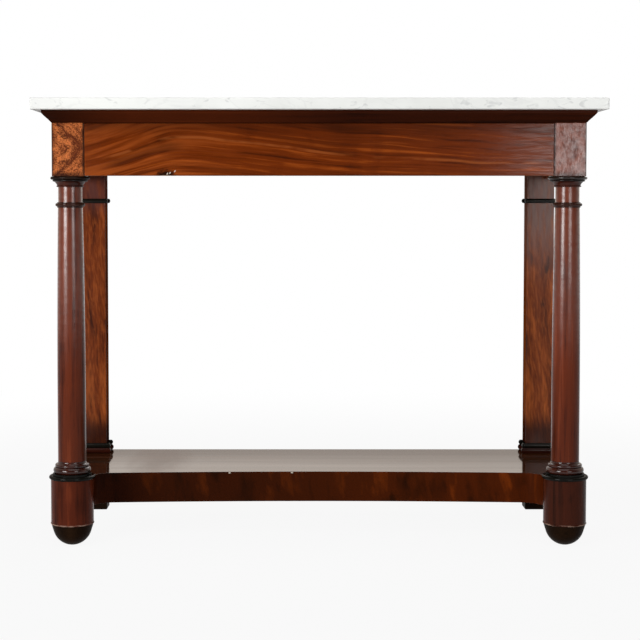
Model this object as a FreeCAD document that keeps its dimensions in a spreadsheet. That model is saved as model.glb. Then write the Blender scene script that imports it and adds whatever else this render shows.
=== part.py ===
import FreeCAD, Part
import Sketcher
import math
import os
import re

# Pier table: a marble slab on a mahogany carcass with a frieze drawer, two turned columns in front, two flat
# posts behind and a low shelf with a hollow front. Millimetres; +X right, +Y towards the wall, +Z up; the
# origin is on the floor under the middle of the slab.

# Driving sizes
SIZES = {
    # Carcass between the outer faces of its corner blocks, and the slab on it
    "carcass_width": 1082,
    "carcass_depth": 442,
    "overall_height": 915,
    "slab_thickness": 23.5,
    "slab_overhang": 38,
    "slab_edge_radius": 2.5,
    # Cornice under the slab
    "cornice_height": 25,
    "cornice_projection": 18,
    "cornice_lip": 6,
    "cornice_seat": 16,
    "cornice_curve": 120,
    # Flat frame that carries the slab
    "top_rail_width": 66,
    "top_tenon_length": 14,
    "top_tenon_thickness": 9,
    "top_tenon_shoulder": 8,
    "screw_radius": 2.2,
    "screw_length": 46,
    "screw_head_radius": 4.6,
    "screw_head_height": 4,
    "front_screw_inset": 46,
    "rear_screw_inset": 27,
    # Fit of every glued or turned joint
    "joint_clearance": 0.15,
    # Frieze
    "frieze_height": 108,
    "block_side": 65,
    "side_frieze_thickness": 22,
    "side_frieze_setback": 2,
    "back_frieze_thickness": 22,
    "back_frieze_inset": 3,
    "back_frieze_lift": 14,
    "frieze_tenon_length": 20,
    "frieze_tenon_thickness": 10,
    "frieze_tenon_shoulder": 14,
    "block_tenon_gap": 6,
    # Rear posts with their band and base
    "post_width": 61,
    "post_depth": 50,
    "post_tenon_cheek": 15.5,
    "post_tenon_setback": 8,
    "post_tenon_gap": 4,
    "post_tenon_length": 40,
    "band_drop": 55.5,
    "band_height": 10,
    "band_flat": 3,
    "band_bulge": 3,
    "base_roll": 12,
    "base_roll_flat": 7,
    "base_roll_bulge": 3.5,
    "base_bead": 10.5,
    "base_bead_flat": 6,
    "base_bead_bulge": 3,
    "base_reach": 10.5,
    # Columns, each piece from the top down
    "spigot_radius": 13,
    "spigot_length": 45,
    "plate_height": 6.5,
    "plate_radius": 40,
    "capital_height": 15,
    "capital_bead": 3.2,
    "capital_bead_radius": 27.8,
    "capital_neck_radius": 26.4,
    "capital_flare_radius": 33,
    "capital_flare_curve": 14,
    "capital_roll": 3.8,
    "capital_roll_radius": 35.6,
    "neck_height": 31,
    "neck_radius": 24.5,
    "ring_height": 11,
    "ring_fillet": 2.4,
    "ring_wall": 2.1,
    "ring_bead": 7,
    "ring_reach": 3.6,
    "shaft_radius": 28.8,
    "shaft_taper": 3.6,
    "shaft_straight": 126,
    "column_roll": 13,
    "column_roll_radius": 34.8,
    "column_roll_bulge": 3.6,
    "column_bead": 7,
    "column_bead_radius": 32.6,
    "column_bead_bulge": 2.1,
    "column_base_height": 25.3,
    "column_hollow_radius": 31,
    "column_hollow_curve": 6,
    "base_ring_height": 11.8,
    "base_ring_bead": 7.6,
    "base_ring_reach": 3.6,
    "base_ring_neck_radius": 39.3,
    # Drums and feet
    "drum_height": 93.4,
    "drum_rise": 5.4,
    "drum_radius": 43.7,
    "drum_flat_half": 32.7,
    "drum_bead": 3.5,
    "drum_bead_reach": 1,
    "front_foot_height": 43.5,
    "front_foot_radius": 43.2,
    "front_foot_round": 27.2,
    "front_foot_round_radius": 38.2,
    "front_foot_curve": 40,
    "front_foot_flat": 8,
    "front_foot_spigot_gap": 15,
    "rear_foot_radius": 5,
    "rear_foot_spigot_gap": 7.5,
    "rear_foot_spigot_radius": 8,
    "dowel_radius": 5,
    "dowel_gap": 3,
    "dowel_spread": 14,
    # Shelf
    "shelf_face": 63.5,
    "shelf_board_thickness": 18,
    "shelf_rail_thickness": 20,
    "shelf_hollow": 142,
    "shelf_sweep": 6000,
    "shelf_corner": 45,
    "shelf_front_rail_thickness": 24,
    "rear_block_width": 45,
    "rear_block_depth": 34,
    "facing_thickness": 2,
    # Drawer and what carries it
    "drawer_setback": 1,
    "drawer_gap": 1.2,
    "drawer_core_thickness": 20,
    "drawer_stop_gap": 0.3,
    "drawer_side_inset": 0.8,
    "drawer_side_thickness": 11,
    "drawer_side_height": 62,
    "drawer_rear_gap": 66,
    "drawer_float": 0.3,
    "drawer_headroom": 0.7,
    "drawer_groove_lift": 7,
    "drawer_groove_depth": 5,
    "drawer_bottom_thickness": 6,
    "drawer_back_thickness": 11,
    "drawer_back_inset": 8,
    "drawer_back_drop": 4,
    "drawer_back_housing": 4,
    "tail_length": 13,
    "tail_root": 5,
    "tail_flare": 2,
    "runner_lift": 8,
    "runner_thickness": 14,
    "runner_reach": 24,
    "drawer_rail_tenon": 14,
    "drawer_rail_shoulder": 4,
    "drawer_rail_cheek": 8,
    "guide_height": 22,
    "kicker_inner": 14,
    "kicker_outer": 1.2,
}

# Places that several pieces share
PLACES = {
    "drum_top": "front_foot_height + drum_height",
    "shelf_height": "drum_top - drum_rise",
    "slab_z": "overall_height - slab_thickness",
    "cornice_z": "slab_z - cornice_height",
    "frieze_z": "cornice_z - frieze_height",
    "side_x": "carcass_width / 2",
    "slab_depth": "carcass_depth + slab_overhang",
    "back_y": "slab_depth / 2",
    "front_y": "back_y - carcass_depth",
    "block_y": "front_y + block_side",
    "post_y": "back_y - post_depth",
    "back_frieze_y": "back_y - back_frieze_inset - back_frieze_thickness",
    "post_x": "side_x - post_width",
    "block_tenon_y": "axis_y + spigot_radius + block_tenon_gap",
    "dowel_reach": "drum_flat - spigot_radius - dowel_gap",
    "axis_x": "side_x - block_side / 2",
    "axis_y": "front_y + block_side / 2",
    "top_x": "side_x - cornice_seat",
    "top_y": "front_y + cornice_seat",
    "top_cross_front": "top_y + top_rail_width",
    "top_cross_back": "back_y - top_rail_width",
    "plate_z": "frieze_z - plate_height",
    "capital_z": "plate_z - capital_height",
    "ring_z": "capital_z - neck_height - ring_height",
    "ring_fillet_radius": "neck_radius + ring_wall",
    "ring_radius": "ring_fillet_radius + ring_reach",
    "shaft_top_radius": "shaft_radius - shaft_taper",
    "base_ring_radius": "drum_radius + base_ring_reach",
    "column_base_z": "drum_top + base_ring_height",
    "shaft_z": "column_base_z + column_base_height",
    "shelf_z": "shelf_height - shelf_face",
    "board_z": "shelf_height - shelf_board_thickness",
    "shelf_x": "side_x + base_reach",
    "drum_bead_radius": "drum_radius + drum_bead_reach",
    "drum_flat": "sqrt(drum_radius ^ 2 - drum_flat_half ^ 2)",
    "ear_round": "shelf_x - axis_x - drum_flat_half",
    "ear_side_x": "shelf_x - ear_round",
    "ear_side_y": "ear_y + ear_round",
    "shelf_core_x": "shelf_x - facing_thickness",
    "shelf_rail_x": "shelf_core_x - shelf_rail_thickness",
    "ear_x": "side_x - block_side",
    "ear_core_x": "ear_x + facing_thickness",
    "ear_y": "axis_y + drum_flat",
    "sweep_y": "front_y + shelf_hollow - shelf_sweep",
    "corner_x": "ear_x - shelf_corner",
    "corner_y": "sweep_y + sqrt((shelf_sweep - shelf_corner) ^ 2 - corner_x ^ 2)",
    "shelf_front_back_y": "front_y + shelf_hollow + facing_thickness + shelf_front_rail_thickness",
    "shelf_back_rail_y": "back_y - shelf_rail_thickness",
    "post_tenon_x": "post_x + post_tenon_cheek",
    "post_tenon_end_x": "shelf_rail_x - post_tenon_gap",
    "post_tenon_y": "post_y + post_tenon_setback",
    "post_tenon_end_y": "shelf_back_rail_y - post_tenon_gap",
    "veneer_y": "front_y + drawer_setback",
    "core_y": "veneer_y + facing_thickness",
    "core_back_y": "core_y + drawer_core_thickness",
    "drawer_end_y": "back_frieze_y - drawer_rear_gap",
    "runner_z": "frieze_z + runner_lift",
    "runner_top": "runner_z + runner_thickness",
    "drawer_z": "runner_top + drawer_float",
    "drawer_top": "drawer_z + drawer_side_height",
    "drawer_x": "ear_x - drawer_gap - drawer_side_inset",
    "drawer_inner_x": "drawer_x - drawer_side_thickness",
    "groove_x": "drawer_inner_x + drawer_groove_depth",
    "groove_z": "drawer_z + drawer_groove_lift",
    "groove_top": "groove_z + drawer_bottom_thickness",
    "groove_y": "core_back_y - drawer_groove_depth",
    "drawer_back_y": "drawer_end_y - drawer_back_inset - drawer_back_thickness",
    "tail_y": "core_back_y - tail_length",
    "side_frieze_x": "side_x - side_frieze_setback - side_frieze_thickness",
    "runner_x": "ear_x - runner_reach",
    "drawer_rail_y": "core_back_y + drawer_stop_gap",
}

SIDES = {"left": -1, "right": 1}

doc = FreeCAD.newDocument("PierTable")
sheet = doc.addObject("Spreadsheet::Sheet", "Sizes")
for row, (alias, size) in enumerate(SIZES.items(), start=1):
    sheet.set(f"A{row}", alias)
    sheet.set(f"B{row}", str(size))
    sheet.setAlias(f"B{row}", alias)
doc.recompute()


def full(expression):
    """The expression in terms of the sheet's cells, with shared places written out."""

    def written(match):
        word = match.group(0)
        if word in PLACES:
            return f"({full(PLACES[word])})"
        return f"Sizes.{word}" if word in SIZES else word

    return re.sub(r"[a-z_]+", written, expression)


def number(expression):
    """The expression's present value."""
    return FreeCAD.Units.Quantity(sheet.evalExpression(full(expression))).Value


def bind(item, setting, expression):
    item.setExpression(setting, full(expression))


def placed(item, x, y, z):
    """The item with its place tied to three expressions."""
    for axis, expression in zip("xyz", (x, y, z)):
        bind(item, f"Placement.Base.{axis}", expression)
    return item


def span(sign, low, high):
    """A range on X for the right side, or its mirror image on the left."""
    return (low, high) if sign > 0 else (f"-({high})", f"-({low})")


def board(name, x, y, z):
    """A board between two planes on each axis."""
    piece = doc.addObject("Part::Box", name)
    for setting, (low, high) in zip(("Length", "Width", "Height"), (x, y, z)):
        bind(piece, setting, f"({high}) - ({low})")
    return placed(piece, x[0], y[0], z[0])


def fitted_board(name, *ranges):
    """A tenon, tongue or panel, and the mortise or groove that takes it with clearance all round."""
    loose = [(f"{low} - joint_clearance", f"{high} + joint_clearance") for low, high in ranges]
    return board(name, *ranges), board(name + "_recess", *loose)


def rod(name, radius, length, x, y, z, along_y=False):
    """A round rod or bore that runs up, or back along Y."""
    piece = doc.addObject("Part::Cylinder", name)
    bind(piece, "Radius", radius)
    bind(piece, "Height", length)
    if along_y:
        piece.Placement.Rotation = FreeCAD.Rotation(FreeCAD.Vector(1, 0, 0), -90)
    return placed(piece, x, y, z)


def made_from(kind, piece, tools):
    """The piece with each tool added or cut in turn. The result takes over the piece's label."""
    for tool in tools:
        result = doc.addObject(kind, piece.Name)
        result.Base = piece
        result.Tool = tool
        result.Refine = True
        label = piece.Label
        piece.Label = label + "_blank"
        result.Label = label
        piece = result
    return piece


def with_added(piece, *tools):
    return made_from("Part::Fuse", piece, tools)


def with_cut(piece, *tools):
    return made_from("Part::Cut", piece, tools)


def group(name, pieces):
    """Like pieces kept together as separate solids."""
    result = doc.addObject("Part::Compound", name)
    result.Links = pieces
    return result


def arc_between(start, finish, radius, turn):
    """The shorter arc between two points, counterclockwise (turn 1) or clockwise (turn -1)."""
    chord = finish - start
    rise = math.sqrt(radius ** 2 - chord.Length ** 2 / 4)
    centre = (start + finish) / 2 + FreeCAD.Vector(-chord.y, chord.x, 0).normalize() * rise * turn
    first, last = (start, finish) if turn > 0 else (finish, start)
    angles = [math.atan2(point.y - centre.y, point.x - centre.x) for point in (first, last)]
    return Part.ArcOfCircle(Part.Circle(centre, FreeCAD.Vector(0, 0, 1), radius), *angles)


def outline(body, plane, corners):
    """A closed sketch on one of the body's planes. A corner is (across, up), and (across, up, radius, turn)
    where the side that ends at it is an arc."""
    support = next(item for item in body.Origin.OriginFeatures if item.Role == plane)
    sketch = body.newObject("Sketcher::SketchObject", body.Name + "_outline")
    sketch.AttachmentSupport = (support, [""])
    sketch.MapMode = "FlatFace"
    points = [FreeCAD.Vector(number(corner[0]), number(corner[1]), 0) for corner in corners]
    sides, ends, curves = [], [], []
    for index, corner in enumerate(corners):
        start, finish = points[index - 1], points[index]
        if len(corner) == 2:
            sides.append(Part.LineSegment(start, finish))
            ends.append((1, 2))
        else:
            sides.append(arc_between(start, finish, number(corner[2]), corner[3]))
            ends.append((1, 2) if corner[3] > 0 else (2, 1))
            curves.append(index)
    sketch.addGeometry(sides, False)
    rules, bound = [], []
    for index, corner in enumerate(corners):
        following = (index + 1) % len(corners)
        finish = ends[index][1]
        rules.append(Sketcher.Constraint("Coincident", index, finish, following, ends[following][0]))
        for direction, axis, expression, place in (("DistanceX", -2, corner[0], points[index].x),
                                                   ("DistanceY", -1, corner[1], points[index].y)):
            if expression == "0":
                rules.append(Sketcher.Constraint("PointOnObject", index, finish, axis))
            else:
                bound.append((len(rules), expression))
                rules.append(Sketcher.Constraint(direction, -1, 1, index, finish, place))
    for index in curves:
        bound.append((len(rules), corners[index][2]))
        rules.append(Sketcher.Constraint("Radius", index, number(corners[index][2])))
    sketch.addConstraint(rules)
    for place, expression in bound:
        bind(sketch, f"Constraints[{place}]", expression)
    return sketch


def padded(name, plane, corners, length, x="0", y="0", z="0"):
    """A length of stock with the outline as its section."""
    body = doc.addObject("PartDesign::Body", name)
    pad = body.newObject("PartDesign::Pad", name + "_pad")
    pad.Profile = outline(body, plane, corners)
    bind(pad, "Length", length)
    return placed(body, x, y, z)


def eased(body, radius, keeps_sharp):
    """The padded body with its edges rounded, apart from those that keeps_sharp picks out."""
    doc.recompute()
    pad = body.Tip
    edges = [f"Edge{index}" for index, edge in enumerate(pad.Shape.Edges, start=1) if not keeps_sharp(edge)]
    rounding = body.newObject("PartDesign::Fillet", body.Name + "_edges")
    rounding.Base = (pad, edges)
    bind(rounding, "Radius", radius)
    return body


def turned(name, corners, x, y, z="0"):
    """A turned piece; its outline is (radius, height)."""
    body = doc.addObject("PartDesign::Body", name)
    sketch = outline(body, "XZ_Plane", corners)
    turning = body.newObject("PartDesign::Revolution", name + "_turning")
    turning.Profile = sketch
    turning.ReferenceAxis = (sketch, ["V_Axis"])
    turning.Angle = 360
    return placed(body, x, y, z)


def bead(radius, low, height):
    """Outline of a half-round bead that stands out to the radius."""
    half = f"({height}) / 2"
    return [(f"{radius} - {half}", low),
            (radius, f"{low} + {half}", half, 1),
            (f"{radius} - {half}", f"{low} + {height}", half, 1)]


def rounded(flat, low, height, bulge):
    """Outline of a rounded face that stands out from a flat by the bulge."""
    radius = f"(({height}) ^ 2 / 4 + {bulge} ^ 2) / (2 * {bulge})"
    return [(flat, low), (flat, f"{low} + {height}", radius, 1)]


def flipped(profile):
    """A moulding's profile turned to face the other way."""
    return [(f"-({corner[0]})", corner[1]) + ((corner[2], -corner[3]) if len(corner) > 2 else ())
            for corner in profile]


def mitre(x, y, z, height, reach, sign, for_return):
    """The block that a 45 degree cut through (x, y) takes off a front moulding or off its return."""
    block = doc.addObject("Part::Box", "mitre")
    for setting, expression in (("Length", f"2 * {reach}"), ("Width", reach), ("Height", height)):
        bind(block, setting, expression)
    block.Placement.Rotation = FreeCAD.Rotation(FreeCAD.Vector(0, 0, 1), -45 * sign)
    if not for_return:
        return placed(block, f"{x} - {reach} / sqrt(2)", f"{y} + {sign} * {reach} / sqrt(2)", z)
    across = x if sign < 0 else f"{x} - sqrt(2) * {reach}"
    along = y if sign > 0 else f"{y} - sqrt(2) * {reach}"
    return placed(block, across, along, z)


def mouldings(name, profile, left, right, front, z, height, projection, seat):
    """A moulding's front length and its left and right returns, mitred round an upright with these faces.
    The profile is (outward, up) and goes seat deep behind the faces."""
    reach = f"(2 * ({projection} + {seat}))"
    length = f"back_y - {front} + {projection}"
    front_width = f"({right}) - ({left}) + 2 * {projection}"
    pieces = {
        "front": padded(f"{name}_front", "YZ_Plane", flipped(profile), front_width,
                        f"{left} - {projection}", front, z),
        "left": padded(f"{name}_left", "XZ_Plane", flipped(profile), length, left, "back_y", z),
        "right": padded(f"{name}_right", "XZ_Plane", profile, length, right, "back_y", z),
    }
    for side, sign in SIDES.items():
        corner = left if sign < 0 else right
        pieces["front"] = with_cut(pieces["front"], mitre(corner, front, z, height, reach, sign, False))
        pieces[side] = with_cut(pieces[side], mitre(corner, front, z, height, reach, sign, True))
    return pieces


parts = []


def keep(*pieces):
    parts.extend(pieces)


# Marble slab, flush with the carcass behind, its other edges eased
slab_x = "(side_x + slab_overhang)"
slab = padded("marble_top", "XY_Plane",
              [(f"-{slab_x}", "-back_y"), (slab_x, "-back_y"), (slab_x, "back_y"), (f"-{slab_x}", "back_y")],
              "slab_thickness", z="slab_z")
slab_middle = number("slab_depth") / 4
keep(eased(slab, "slab_edge_radius", lambda edge: edge.BoundBox.YMin > slab_middle))

# Cornice: a splay hollow below and round above, under a flat lip
splay = "(cornice_height - cornice_lip)"
cornice = mouldings(
    "cornice",
    [("-cornice_seat", "0"), ("0", "0"),
     ("cornice_projection / 2", f"{splay} / 2", "cornice_curve", -1),
     ("cornice_projection", splay, "cornice_curve", 1),
     ("cornice_projection", "cornice_height"), ("-cornice_seat", "cornice_height")],
    "-side_x", "side_x", "front_y", "cornice_z", "cornice_height", "cornice_projection", "cornice_seat")
keep(*cornice.values())

# Flat frame under the slab: three cross rails tenoned into a front and a back rail
top_z = ("cornice_z", "slab_z")
top_tenon_z = "(cornice_z + (cornice_height - top_tenon_thickness) / 2)"
top_rails = [board("top_front_rail", ("-top_x", "top_x"), ("top_y", "top_cross_front"), top_z),
             board("top_back_rail", ("-top_x", "top_x"), ("top_cross_back", "back_y"), top_z)]
for name, left in (("left", "-top_x"), ("centre", "-top_rail_width / 2"),
                   ("right", "top_x - top_rail_width")):
    rail = board(f"top_{name}_rail", (left, f"{left} + top_rail_width"),
                 ("top_cross_front", "top_cross_back"), top_z)
    tenon, mortise = fitted_board(
        f"top_{name}_tenon",
        (f"{left} + top_tenon_shoulder", f"{left} + top_rail_width - top_tenon_shoulder"),
        ("top_cross_front - top_tenon_length", "top_cross_back + top_tenon_length"),
        (top_tenon_z, f"{top_tenon_z} + top_tenon_thickness"))
    keep(with_added(rail, tenon))
    top_rails = [with_cut(top_rail, mortise) for top_rail in top_rails]

# Countersunk screws that hold the top frame down on the blocks and posts, and their holes
screws, screw_holes = [], {}
for side, sign in SIDES.items():
    for end, inset, screw_y in (("front", "front_screw_inset", "front_y + front_screw_inset"),
                                ("rear", "rear_screw_inset", "back_y - rear_screw_inset")):
        screw, hole = (
            turned(f"{end}_{side}_{kind}",
                   [("0", f"-screw_length - {fit}"), (f"screw_radius + {fit}", f"-screw_length - {fit}"),
                    (f"screw_radius + {fit}", "-screw_head_height"), (f"screw_head_radius + {fit}", "0"),
                    ("0", "0")],
                   f"{sign} * (side_x - {inset})", screw_y, "slab_z")
            for kind, fit in (("screw", "0"), ("screw_hole", "joint_clearance")))
        screws.append(screw)
        screw_holes[side, end] = hole
keep(*(with_cut(rail, *(screw_holes[side, end] for side in SIDES))
       for rail, end in zip(top_rails, ("front", "rear"))))
keep(group("top_screws", screws))

# Back frieze, tenoned between the posts
back_frieze_z = "(frieze_z + back_frieze_lift)"
back_tenon_y = "(back_frieze_y + (back_frieze_thickness - frieze_tenon_thickness) / 2)"
back_frieze = board("back_frieze", ("-post_x", "post_x"), ("back_frieze_y", "back_y - back_frieze_inset"),
                    (back_frieze_z, "cornice_z"))
back_tenon, back_mortise = fitted_board(
    "back_frieze_tenon", ("-post_x - frieze_tenon_length", "post_x + frieze_tenon_length"),
    (back_tenon_y, f"{back_tenon_y} + frieze_tenon_thickness"),
    (f"{back_frieze_z} + frieze_tenon_shoulder", "cornice_z - frieze_tenon_shoulder"))
keep(with_added(back_frieze, back_tenon))

# Drawer rail between the blocks, behind the drawer front and its stop
drawer_rail = board("drawer_rail", ("-ear_x", "ear_x"), ("drawer_rail_y", "block_y"),
                    ("runner_z", "runner_top"))
rail_tenon, rail_mortise = fitted_board(
    "drawer_rail_tenon", ("-ear_x - drawer_rail_tenon", "ear_x + drawer_rail_tenon"),
    ("drawer_rail_y + drawer_rail_cheek", "block_y - drawer_rail_cheek"),
    ("runner_z + drawer_rail_shoulder", "runner_top - drawer_rail_shoulder"))
keep(with_added(drawer_rail, rail_tenon))

runners, guides, kickers = [], [], []
dowels, shelf_blocks, shelf_mortises, post_beads = [], [], [], []
for side, sign in SIDES.items():
    axis = (f"{sign} * axis_x", "axis_y")
    bore = "(spigot_radius + joint_clearance)"

    # Corner block over the column, and the side frieze tenoned into it and into the post
    block = board(f"corner_block_{side}", span(sign, "ear_x", "side_x"), ("front_y", "block_y"),
                  ("frieze_z", "cornice_z"))
    block_bore = rod(f"block_bore_{side}", bore, "spigot_length + joint_clearance", *axis, "frieze_z")
    frieze = board(f"side_frieze_{side}", span(sign, "side_frieze_x", "side_x - side_frieze_setback"),
                   ("block_y", "post_y"), ("frieze_z", "cornice_z"))
    tenon_x = "(side_frieze_x + (side_frieze_thickness - frieze_tenon_thickness) / 2)"
    tenon, mortise = fitted_board(
        f"side_frieze_tenon_{side}", span(sign, tenon_x, f"{tenon_x} + frieze_tenon_thickness"),
        ("block_tenon_y", "post_y + frieze_tenon_length"),
        ("frieze_z + frieze_tenon_shoulder", "cornice_z - frieze_tenon_shoulder"))
    keep(with_added(frieze, tenon))
    keep(with_cut(block, block_bore, mortise, rail_mortise, screw_holes[side, "front"]))

    # Runner and guide that carry and lead the drawer, and the kicker above it under the top frame
    lengthwise = ("block_y", "post_y")
    runners.append(board(f"runner_{side}", span(sign, "runner_x", "side_frieze_x"), lengthwise,
                         ("runner_z", "runner_top")))
    guides.append(board(f"guide_{side}", span(sign, "ear_x - drawer_gap", "side_frieze_x"), lengthwise,
                        ("runner_top", "runner_top + guide_height")))
    kickers.append(board(f"kicker_{side}", span(sign, "drawer_x - kicker_inner", "drawer_x + kicker_outer"),
                         ("top_cross_front", "top_cross_back"),
                         ("drawer_top + drawer_headroom", "cornice_z")))

    # Rear post, tenoned down through the shelf into its rear corner block
    post_faces = span(sign, "post_x", "side_x")
    post = board(f"rear_post_{side}", post_faces, ("post_y", "back_y"), ("shelf_height", "cornice_z"))
    post_tenon, post_mortise = fitted_board(
        f"post_tenon_{side}", span(sign, "post_tenon_x", "post_tenon_end_x"),
        ("post_tenon_y", "post_tenon_end_y"),
        ("shelf_height - post_tenon_length", "shelf_height"))
    keep(with_cut(with_added(post, post_tenon), mortise, back_mortise, screw_holes[side, "rear"]))
    shelf_mortises.append(post_mortise)

    # Band near the top of the post, three mitred lengths
    band = mouldings(f"band_{side}",
                     [("0", "0"), *rounded("band_flat", "0", "band_height", "band_bulge"),
                      ("0", "band_height")],
                     *post_faces, "post_y", "frieze_z - band_drop", "band_height", "base_reach", "band_flat")
    keep(group(f"post_band_{side}", list(band.values())))

    # Base of the post: a roll that stands on the shelf and a bead on the roll, three mitred lengths each
    roll = mouldings(f"roll_{side}",
                     [("0", "0"), *rounded("base_roll_flat", "0", "base_roll", "base_roll_bulge"),
                      ("0", "base_roll")],
                     *post_faces, "post_y", "shelf_height", "base_roll", "base_reach", "base_roll_flat")
    keep(group(f"post_base_{side}", list(roll.values())))
    base_bead = mouldings(f"base_bead_{side}",
                          [("0", "0"), *rounded("base_bead_flat", "0", "base_bead", "base_bead_bulge"),
                           ("0", "base_bead")],
                          *post_faces, "post_y", "shelf_height + base_roll", "base_bead", "base_reach",
                          "base_bead_flat")
    post_beads += base_bead.values()

    # Rear foot, a block with a rounded lower edge and a spigot up into the shelf
    foot_left, foot_right = post_faces
    rear_foot = eased(padded(f"rear_foot_{side}", "XY_Plane",
                             [(foot_left, "post_y"), (foot_right, "post_y"), (foot_right, "back_y"),
                              (foot_left, "back_y")], "shelf_z"),
                      "rear_foot_radius", lambda edge: edge.BoundBox.ZMax > 1)
    rear_spigot = "(shelf_face - post_tenon_length - rear_foot_spigot_gap)"
    foot_axis = (f"{sign} * (post_tenon_x + post_tenon_end_x) / 2", "(post_tenon_y + post_tenon_end_y) / 2")
    foot_spigot, foot_bore = (
        rod(f"rear_foot_{kind}_{side}", f"rear_foot_spigot_radius + {fit}", f"{rear_spigot} + {fit}",
            *foot_axis, "shelf_z")
        for kind, fit in (("spigot", "0"), ("bore", "joint_clearance")))
    keep(with_added(rear_foot, foot_spigot))

    # Column, from the plate under the block down to the ring on the drum, threaded on the shaft's spigots
    keep(turned(f"capital_plate_{side}",
                [(bore, "0"), *bead("plate_radius", "0", "plate_height"), (bore, "plate_height")],
                *axis, "plate_z"))
    keep(turned(f"capital_{side}",
                [(bore, "0"), *bead("capital_bead_radius", "0", "capital_bead"),
                 ("capital_neck_radius", "capital_bead"),
                 ("capital_flare_radius", "capital_height - capital_roll", "capital_flare_curve", -1),
                 *bead("capital_roll_radius", "capital_height - capital_roll", "capital_roll"),
                 (bore, "capital_height")],
                *axis, "capital_z"))
    neck_bore = "(neck_radius + joint_clearance)"
    keep(turned(f"neck_ring_{side}",
                [(neck_bore, "0"), ("ring_fillet_radius", "0"), ("ring_fillet_radius", "ring_fillet"),
                 *bead("ring_radius", "ring_fillet", "ring_bead"),
                 ("ring_fillet_radius", "ring_fillet + ring_bead"), ("ring_fillet_radius", "ring_height"),
                 (neck_bore, "ring_height")],
                *axis, "ring_z"))
    taper_z = "(shaft_z + shaft_straight)"
    taper_length = f"(ring_z - {taper_z})"
    swell = f"({taper_length} ^ 2 + shaft_taper ^ 2) / (2 * shaft_taper)"
    keep(turned(f"column_shaft_{side}",
                [("0", "drum_top - spigot_length"), ("spigot_radius", "drum_top - spigot_length"),
                 ("spigot_radius", "shaft_z"), ("shaft_radius", "shaft_z"), ("shaft_radius", taper_z),
                 ("shaft_top_radius", "ring_z", swell, 1),
                 ("neck_radius", "ring_z"), ("neck_radius", "capital_z"), ("spigot_radius", "capital_z"),
                 ("spigot_radius", "frieze_z + spigot_length"), ("0", "frieze_z + spigot_length")],
                *axis))
    bead_top = "column_roll + column_bead"
    keep(turned(f"column_base_{side}",
                [(bore, "0"), *rounded("column_roll_radius", "0", "column_roll", "column_roll_bulge"),
                 *rounded("column_bead_radius", "column_roll", "column_bead", "column_bead_bulge"),
                 ("column_hollow_radius", bead_top),
                 ("shaft_radius", "column_base_height", "column_hollow_curve", -1),
                 (bore, "column_base_height")],
                *axis, "column_base_z"))
    keep(turned(f"base_ring_{side}",
                [(bore, "0"), *bead("base_ring_radius", "0", "base_ring_bead"),
                 ("base_ring_neck_radius", "base_ring_bead"), ("base_ring_neck_radius", "base_ring_height"),
                 (bore, "base_ring_height")],
                *axis, "drum_top"))

    # Drum under the column, with a flat behind where the shelf is dowelled to it; its top stands round above
    # the shelf
    front_spigot = "(drum_height - spigot_length - front_foot_spigot_gap)"
    drum = turned(f"drum_{side}",
                  [("0", "0"), *bead("drum_bead_radius", "0", "drum_bead"), ("drum_radius", "drum_bead"),
                   ("drum_radius", "drum_height"), ("0", "drum_height")],
                  *axis, "front_foot_height")
    drum_back = board(f"drum_back_{side}", span(sign, "axis_x - 2 * drum_radius", "axis_x + 2 * drum_radius"),
                      ("ear_y", "ear_y + drum_radius"), ("front_foot_height", "shelf_height"))
    column_bore = rod(f"drum_column_bore_{side}", bore, "spigot_length + joint_clearance", *axis,
                      "drum_top - spigot_length - joint_clearance")
    drum_foot_bore = rod(f"drum_foot_bore_{side}", bore, f"{front_spigot} + joint_clearance", *axis,
                         "front_foot_height")
    dowel_holes = []
    for place in SIDES.values():
        dowel, hole = (
            rod(f"drum_{kind}_{side}", f"dowel_radius + {fit}", f"2 * (dowel_reach + {fit})",
                f"{sign} * (ear_core_x + shelf_rail_x) / 2 + {place} * dowel_spread",
                f"ear_y - dowel_reach - {fit}",
                "(shelf_z + board_z) / 2", along_y=True)
            for kind, fit in (("dowel", "0"), ("dowel_hole", "joint_clearance")))
        dowels.append(dowel)
        dowel_holes.append(hole)
    keep(with_cut(drum, drum_back, column_bore, drum_foot_bore, *dowel_holes))

    # Bullet foot with a small flat to stand on and a spigot up into the drum
    spigot_top = f"front_foot_height + {front_spigot}"
    keep(turned(f"front_foot_{side}",
                [("0", "0"), ("front_foot_flat", "0"),
                 ("front_foot_round_radius", "front_foot_round", "front_foot_curve", 1),
                 ("front_foot_radius", "front_foot_height"), ("spigot_radius", "front_foot_height"),
                 ("spigot_radius", spigot_top), ("0", spigot_top)],
                *axis))

    # Shelf frame on this side: rail, the facing that bends round to the drum, and the two corner blocks
    keep(board(f"shelf_side_rail_{side}", span(sign, "shelf_rail_x", "shelf_core_x"),
               ("ear_side_y", "shelf_back_rail_y"), ("shelf_z", "board_z")))
    facing = [("shelf_x", "back_y"), ("shelf_x", "ear_side_y"), ("ear_side_x", "ear_y", "ear_round", -1),
              ("ear_side_x", "ear_y + facing_thickness"),
              ("shelf_core_x", "ear_side_y", "ear_round - facing_thickness", 1), ("shelf_core_x", "back_y")]
    keep(padded(f"shelf_side_facing_{side}", "XY_Plane", facing if sign > 0 else flipped(facing),
                "shelf_face", z="shelf_z"))
    front_block = board(f"shelf_front_block_{side}", span(sign, "ear_core_x", "shelf_rail_x"),
                        ("ear_y", "shelf_front_back_y"), ("shelf_z", "board_z"))
    rear_block = board(f"shelf_rear_block_{side}",
                       span(sign, "shelf_rail_x - rear_block_width", "shelf_rail_x"),
                       ("shelf_back_rail_y - rear_block_depth", "shelf_back_rail_y"), ("shelf_z", "board_z"))
    shelf_blocks += [with_cut(front_block, *dowel_holes), with_cut(rear_block, post_mortise, foot_bore)]

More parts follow.
